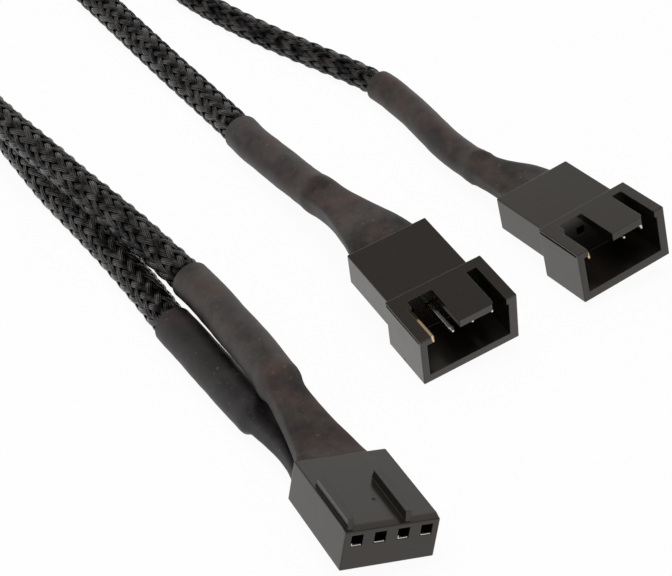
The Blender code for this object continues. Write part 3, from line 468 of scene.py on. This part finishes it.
def carried_frames(points):
    """Two cross directions along a line of points, carried along it without twist."""
    tangents = np.gradient(points, axis=0)
    tangents /= np.linalg.norm(tangents, axis=1)[:, None]
    across = np.cross(tangents[0], (0.0, 0.0, 1.0))
    sides = []
    for tangent in tangents:
        across = across - tangent * across.dot(tangent)
        across = across / np.linalg.norm(across)
        sides.append(across)
    sides = np.array(sides)
    return sides, np.cross(sides, tangents)


def mesh_piece(name, vertices, faces, materials, slots=None, uv=None):
    """An object at the origin from points and four-sided faces, with a slot and UV corners a face."""
    mesh = bpy.data.meshes.new(name)
    mesh.from_pydata([tuple(vertex) for vertex in vertices], [], [tuple(face) for face in faces])
    for material in materials:
        mesh.materials.append(material)
    if slots is not None:
        mesh.polygons.foreach_set("material_index", np.asarray(slots, dtype=np.int32))
    if uv is not None:
        layer = mesh.uv_layers.new(name="strand")
        layer.data.foreach_set("uv", np.asarray(uv, dtype=np.float32).ravel())
    mesh.shade_smooth()
    piece = bpy.data.objects.new(name, mesh)
    bpy.context.collection.objects.link(piece)
    return piece


def weave_wave(phase):
    """1 at the top of a strand's arch over two others and -1 where it lies deepest under two."""
    # Crossings come a quarter of a wave apart, and the top lies midway between two of them
    return np.cos(2 * np.pi * (phase - 0.125))


def braid_piece(name, route, near, far, radii, materials):
    """A two-over-two braid of flat strands round a dark core, along the lead between its sleeves."""
    start = near["bump"] * MM
    end = route.length - far["bump"] * MM
    crossing = TURN_LENGTH / (2 * CARRIERS)
    count = int((end - start) / crossing * SAMPLES_PER_FLOAT / 2)
    distances = np.linspace(start, end, count)
    centres = route.at(distances)
    sides, ups = carried_frames(centres)
    radius = np.array([cord_radius(route, near, far, radii, distance) for distance in distances])
    along = distances - start
    vertices, faces, uvs, slots = [], [], [], []
    # A strand's section: flat, with a low crown, cut into lanes across its width
    profile = np.linspace(-0.5, 0.5, STRAND_LANES + 1)
    crown = STRAND_CROWN * (1 - (2 * profile) ** 2)
    width = 2 * np.pi / CARRIERS * STRAND_FILL
    base = 0
    for sense in (1, -1):
        for carrier in range(CARRIERS):
            turn = sense * 2 * np.pi * along / TURN_LENGTH
            angle = 2 * np.pi * carrier / CARRIERS + turn
            other = carrier + sense * 2 * CARRIERS * along / TURN_LENGTH
            lift = sense * weave_wave((carrier + other) / 4)
            for place, rise in zip(profile, crown):
                spread = angle + width * place
                height = radius - DIVE - STRAND_CROWN + DIVE * lift + rise
                outward = sides * np.cos(spread)[:, None] + ups * np.sin(spread)[:, None]
                vertices.append(centres + outward * height[:, None])
            index = base + np.arange(count - 1)
            for lane in range(STRAND_LANES):
                low = index + lane * count
                faces.append(np.stack([low, low + 1, low + count + 1, low + count], axis=1))
                edge = np.array([lane, lane, lane + 1, lane + 1]) / STRAND_LANES
                run = np.stack([along[:-1], along[1:], along[1:], along[:-1]], axis=1) / MM
                uvs.append(np.stack([np.broadcast_to(edge, run.shape), run], axis=-1))
                slots.append(np.zeros(count - 1))
            base += (STRAND_LANES + 1) * count
    # The core under the strands: a plain tube, at the depth to which they dive
    core_rows = np.arange(0, count, CORE_STEP)
    core_radius = radius[core_rows] - 2 * DIVE - STRAND_CROWN
    for side in range(CORE_SIDES):
        spread = 2 * np.pi * side / CORE_SIDES
        direction = sides[core_rows] * math.cos(spread) + ups[core_rows] * math.sin(spread)
        vertices.append(centres[core_rows] + direction * core_radius[:, None])
    rows = len(core_rows)
    index = np.arange(rows - 1)
    for side in range(CORE_SIDES):
        low = base + side * rows + index
        high = base + (side + 1) % CORE_SIDES * rows + index
        faces.append(np.stack([low, low + 1, high + 1, high], axis=1))
        uvs.append(np.zeros((rows - 1, 4, 2)))
        slots.append(np.ones(rows - 1))
    piece = mesh_piece(
        name, np.concatenate(vertices), np.concatenate(faces), materials,
        slots=np.concatenate(slots), uv=np.concatenate(uvs),
    )
    path = [tuple(point) for point in route.at(np.linspace(start, end, PATH_POINTS))]
    return piece, path, end - start


def sleeve_halves(sleeve, distance):
    """A sleeve's outside at a distance: half width and half height, squareness, and how round it is."""
    left = max(1 - distance / sleeve["flare"], 0.0)
    width = sleeve["neck"][0] + (sleeve["mouth"][0] - sleeve["neck"][0]) * left ** FLARE_CURVE
    height = sleeve["neck"][1] + (sleeve["mouth"][1] - sleeve["neck"][1]) * left
    swell = smooth((distance - sleeve["flare"]) / (sleeve["bump"] - sleeve["flare"]))
    bump = BUMP_HEIGHT * math.exp(-(((distance - sleeve["bump"]) / BUMP_WIDTH) ** 2))
    halves = [half + (sleeve["radius"] - half) * swell + bump for half in (width / 2, height / 2)]
    return halves, FLAT_SECTION + (ROUND_SECTION - FLAT_SECTION) * swell, swell


def powered(value, power):
    """A value raised to a power with its sign kept."""
    return math.copysign(abs(value) ** power, value)


def sleeve_ring(sleeve, distance, place, wires, inset):
    """A ring of points round a sleeve, on its outside or, with an inset, on its inside."""
    centre, across, up = place
    halves, exponent, swell = sleeve_halves(sleeve, distance)
    # The tube is thinner where the wide row of wires keeps it stretched
    wall = inset * (1 - 0.5 * max(1 - distance / sleeve["flare"], 0.0))
    ring = []
    for side in range(SLEEVE_SIDES):
        angle = 2 * math.pi * side / SLEEVE_SIDES
        x = powered(math.cos(angle), 2 / exponent) * (halves[0] - wall)
        z = powered(math.sin(angle), 2 / exponent) * (halves[1] - wall)
        # Grooves between the wires: shallow at the mouth and gone where the tube is round
        groove = 0.5 + 0.5 * math.cos(math.pi * (wires - 1) * (x / halves[0] + 1))
        fade = (1 - swell) * min(distance / 2 + 0.3, 1.0) * abs(math.sin(angle))
        z -= math.copysign((1 - groove) * GROOVE_DEPTH * fade, z)
        point = centre + (across * x + up * z) * MM
        dent = sum(noise.noise(Vector(point) * scale) * depth for scale, depth in DENTS)
        outward = across * math.cos(angle) + up * math.sin(angle)
        ring.append(point + outward * dent * MM)
    return ring


def sleeve_piece(name, route, sleeve, turn, far, wires, material):
    """A tube shrunk over the wires and the braid's end, with soft grooves between the wires, and dents."""
    count = int(sleeve["length"] / SLEEVE_STEP) + 1
    local = np.linspace(0.0, sleeve["length"], count)
    distances = route.length - local * MM if far else local * MM
    centres = route.at(distances)
    tangents = np.gradient(centres, axis=0)
    tangents /= np.linalg.norm(tangents, axis=1)[:, None]
    # The mouth is pushed up against the connector's back
    centres[0] -= tangents[0] * MOUTH_REACH
    hint = np.array(turn.to_3x3() @ Vector((1.0, 0.0, 0.0)))
    skins = []
    for inset in (0.0, SLEEVE_WALL / MM):
        rings = []
        for distance, centre, tangent in zip(local, centres, tangents):
            across = hint - tangent * hint.dot(tangent)
            across /= np.linalg.norm(across)
            up = np.cross(across, tangent)
            rings.append(sleeve_ring(sleeve, float(distance), (centre, across, up), wires, inset))
        skins.append(rings)
    # Out along the outside, back along the inside and round the mouth to the start
    rows = np.array(skins[0] + skins[1][::-1])
    total = len(rows)
    index = np.arange(SLEEVE_SIDES)
    following = (index + 1) % SLEEVE_SIDES
    faces = []
    for row in range(total):
        low = row * SLEEVE_SIDES
        high = (row + 1) % total * SLEEVE_SIDES
        faces.append(np.stack([low + index, low + following, high + following, high + index], axis=1))
    piece = mesh_piece(name, rows.reshape(-1, 3), np.concatenate(faces), [material])
    skin = bmesh.new()
    skin.from_mesh(piece.data)
    bmesh.ops.recalc_face_normals(skin, faces=skin.faces)
    skin.to_mesh(piece.data)
    skin.free()
    piece.data.set_sharp_from_angle(angle=math.radians(60))
    return piece


def pick_face(obj, look, side):
    """Selects the face that looks one way and lies furthest to another side."""
    bpy.ops.mesh.select_all(action="DESELECT")
    mesh = bmesh.from_edit_mesh(obj.data)
    face = max(mesh.faces, key=lambda f: round(f.normal.dot(look), 3) + f.calc_center_median().dot(side))
    face.select_set(True)
    bmesh.update_edit_mesh(obj.data)


def contact_edge(name, way, bend, plug, metal):
    """The front edge of a contact on the sill of its hole: a thin strip with its left end bent up."""
    left = Vector((-1.0, 0.0, 0.0))
    up = Vector((0.0, 0.0, 1.0))
    bpy.ops.mesh.primitive_cube_add(size=1.0)
    edge = bpy.context.active_object
    edge.name = name
    edge.scale = (HOLE_SIDE * MM - 3 * EDGE_THICK, EDGE_DEPTH, EDGE_THICK)
    bpy.ops.object.transform_apply(location=False, rotation=False, scale=True)
    bpy.ops.object.mode_set(mode="EDIT")
    pick_face(edge, left, left)
    bpy.ops.mesh.extrude_region_move(TRANSFORM_OT_translate={"value": left * EDGE_THICK})
    pick_face(edge, up, left)
    bpy.ops.mesh.extrude_region_move(TRANSFORM_OT_translate={"value": up * bend * MM})
    bpy.ops.mesh.select_all(action="SELECT")
    bpy.ops.mesh.normals_make_consistent(inside=False)
    bpy.ops.mesh.bevel(offset=EDGE_ROUNDING, segments=2, affect="EDGES")
    bpy.ops.object.mode_set(mode="OBJECT")
    # The four ways lie evenly about the plug's middle
    across = (way - 1.5) * HOLE_PITCH * MM + EDGE_THICK / 2
    middle = Vector((across, EDGE_BEHIND, HOLE_SILL * MM + EDGE_THICK / 2))
    edge.matrix_world = plug @ Matrix.Translation(middle)
    bpy.ops.object.transform_apply(location=True, rotation=True, scale=True)
    edge.data.materials.append(metal)
    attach(edge, "root")


def dress(node, material):
    """Gives a solid its finish."""
    mesh = node.data
    if not mesh.materials:
        mesh.materials.append(material)
    for slot in range(len(mesh.materials)):
        mesh.materials[slot] = material


def make_camera():
    """The photograph's view: a long lens 243 mm away, from the front left and above."""
    camera = bpy.data.objects.new("camera", bpy.data.cameras.new("camera"))
    camera.data.lens = CAMERA_LENS
    camera.data.sensor_width = 36.0
    camera.data.clip_start = 0.01
    camera.location = CAMERA_PLACE
    camera.rotation_euler = (math.radians(CAMERA_PITCH), 0.0, math.radians(CAMERA_YAW))
    bpy.context.collection.objects.link(camera)
    bpy.context.scene.camera = camera


def make_floor():
    """A white table: it shows nearly white to the eye and in reflections, with a faint shadow on it."""
    bpy.ops.mesh.primitive_plane_add(size=4.0, location=(0.0, 0.0, 0.0))
    floor = bpy.context.active_object
    floor.name = "floor"
    material, tree, shader = new_material("white floor", Base_Color=linear("f4f4f4"), Roughness=0.9)
    shader.inputs["Specular IOR Level"].default_value = 0.0
    # The rest of what the eye gets is the floor's own colour with the shadow on it
    share = add_node(tree, "ShaderNodeMath", {"operation": "MULTIPLY"}, links={0: shown_rays(tree)})
    share.inputs[1].default_value = FLOOR_SHOWN
    glow = add_node(tree, "ShaderNodeEmission", Strength=1.0)
    glow.inputs["Color"].default_value = (1.0, 1.0, 1.0, 1.0)
    mix = add_node(
        tree, "ShaderNodeMixShader",
        links={0: share.outputs["Value"], 1: shader.outputs["BSDF"], 2: glow.outputs["Emission"]},
    )
    tree.links.new(mix.outputs["Shader"], tree.nodes["Material Output"].inputs["Surface"])
    floor.data.materials.append(material)


def make_light():
    """White surroundings that grey upwards, with a pale ceiling right overhead, and one broad lamp."""
    world = bpy.data.worlds.new("white studio")
    world.use_nodes = True
    tree = world.node_tree
    place = add_node(tree, "ShaderNodeTexCoord")
    split = add_node(tree, "ShaderNodeSeparateXYZ", links={"Vector": place.outputs["Generated"]})
    sky = add_node(tree, "ShaderNodeValToRGB", links={"Fac": split.outputs["Z"]})
    sky.color_ramp.elements[0].position = 0.3
    sky.color_ramp.elements[0].color = (1.0, 1.0, 1.0, 1.0)
    sky.color_ramp.elements[1].position = 0.72
    sky.color_ramp.elements[1].color = (0.38, 0.37, 0.35, 1.0)
    # The pale ceiling, for the glint on edges and strands
    for position, level in ((0.91, 0.38), (0.96, 1.0)):
        stop = sky.color_ramp.elements.new(position)
        stop.color = (level, level, level, 1.0)
    # The object itself is lit by plain surroundings of one level
    plain = add_node(
        tree, "ShaderNodeMix", {"data_type": "RGBA"}, links={0: shown_rays(tree), 7: sky.outputs["Color"]},
    )
    plain.inputs[6].default_value = (PLAIN_LEVEL, PLAIN_LEVEL, PLAIN_LEVEL, 1.0)
    tree.links.new(plain.outputs[2], tree.nodes["Background"].inputs["Color"])
    bpy.context.scene.world = world
    lamp = bpy.data.objects.new("overhead soft box", bpy.data.lights.new("overhead soft box", "AREA"))
    lamp.data.shape = "DISK"
    lamp.data.size = LAMP_SIZE
    lamp.data.energy = LAMP_POWER
    lamp.location = LAMP_PLACE
    lamp.rotation_euler = (-LAMP_PLACE).to_track_quat("-Z", "Y").to_euler()
    # It stands outside the reflections, as a lamp behind a polarising sheet does
    lamp.visible_glossy = False
    bpy.context.collection.objects.link(lamp)


def main():
    """Sets the stage, dresses the solids and lays the leads and sleeves over them."""
    bpy.context.scene.view_settings.view_transform = "Standard"
    plug = matrix_of(PLUG_PLACE)
    housing_a = matrix_of(HOUSING_A_PLACE)
    housing_b = matrix_of(HOUSING_B_PLACE)
    make_camera()
    make_floor()
    make_light()
    nylon = moulded_nylon((plug @ (PLUG_GATE * MM), housing_a @ (HOUSING_GATE * MM)))
    tin = plated_metal("tinned bronze", TIN)
    gilt = plated_metal("gilt bronze", GILT)
    shrink = shrunk_polyolefin("shrunk polyolefin", "181413", "3f3834")
    # Plug sleeve A's tube is a darker copy of the same material; only its two tones differ
    darker_shrink = shrunk_polyolefin("darker shrunk polyolefin", "080707", "241f20")
    pvc = wire_pvc()
    braid = [woven_polyester(), shaded_wires()]
    for name, node in NODES.items():
        if name in MOULDINGS:
            dress(node, nylon)
        elif name.startswith("socket"):
            dress(node, tin)
        elif name.startswith("pin"):
            dress(node, gilt if name.endswith("1") else tin)
        elif "wire" in name:
            dress(node, pvc)
    for way, bend in enumerate(EDGE_BENDS):
        contact_edge(f"contact_edge_{way + 1}", way, bend, plug, tin)
    route_a = lead_route(ROUTE_A, plug, PLUG_EXIT_A, housing_a)
    route_b = lead_route(ROUTE_B, plug, PLUG_EXIT_B, housing_b)
    leads = (
        ("a", route_a, PLUG_SLEEVE_A, HOUSING_SLEEVE_A, housing_a, CORD_RADIUS_A, 4),
        ("b", route_b, PLUG_SLEEVE_B, HOUSING_SLEEVE_B, housing_b, CORD_RADIUS_B, 3),
    )
    for letter, route, near, far, housing, far_radius, wires in leads:
        radii = (CORD_RADIUS_A, far_radius)
        piece, path, length = braid_piece(f"braid_{letter}", route, near, far, radii, braid)
        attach(piece, "root")
        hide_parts(f"cord_{letter}")
        for end, sleeve, turn, is_far in (("plug", near, plug, False), ("housing", far, housing, True)):
            # Plug sleeve A takes the darker copy of the tube material
            skin = darker_shrink if (end, letter) == ("plug", "a") else shrink
            tube = sleeve_piece(f"{end}_shrink_{letter}", route, sleeve, turn, is_far, wires, skin)
            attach(tube, "root")
            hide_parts(f"{end}_sleeve_{letter}")


main()
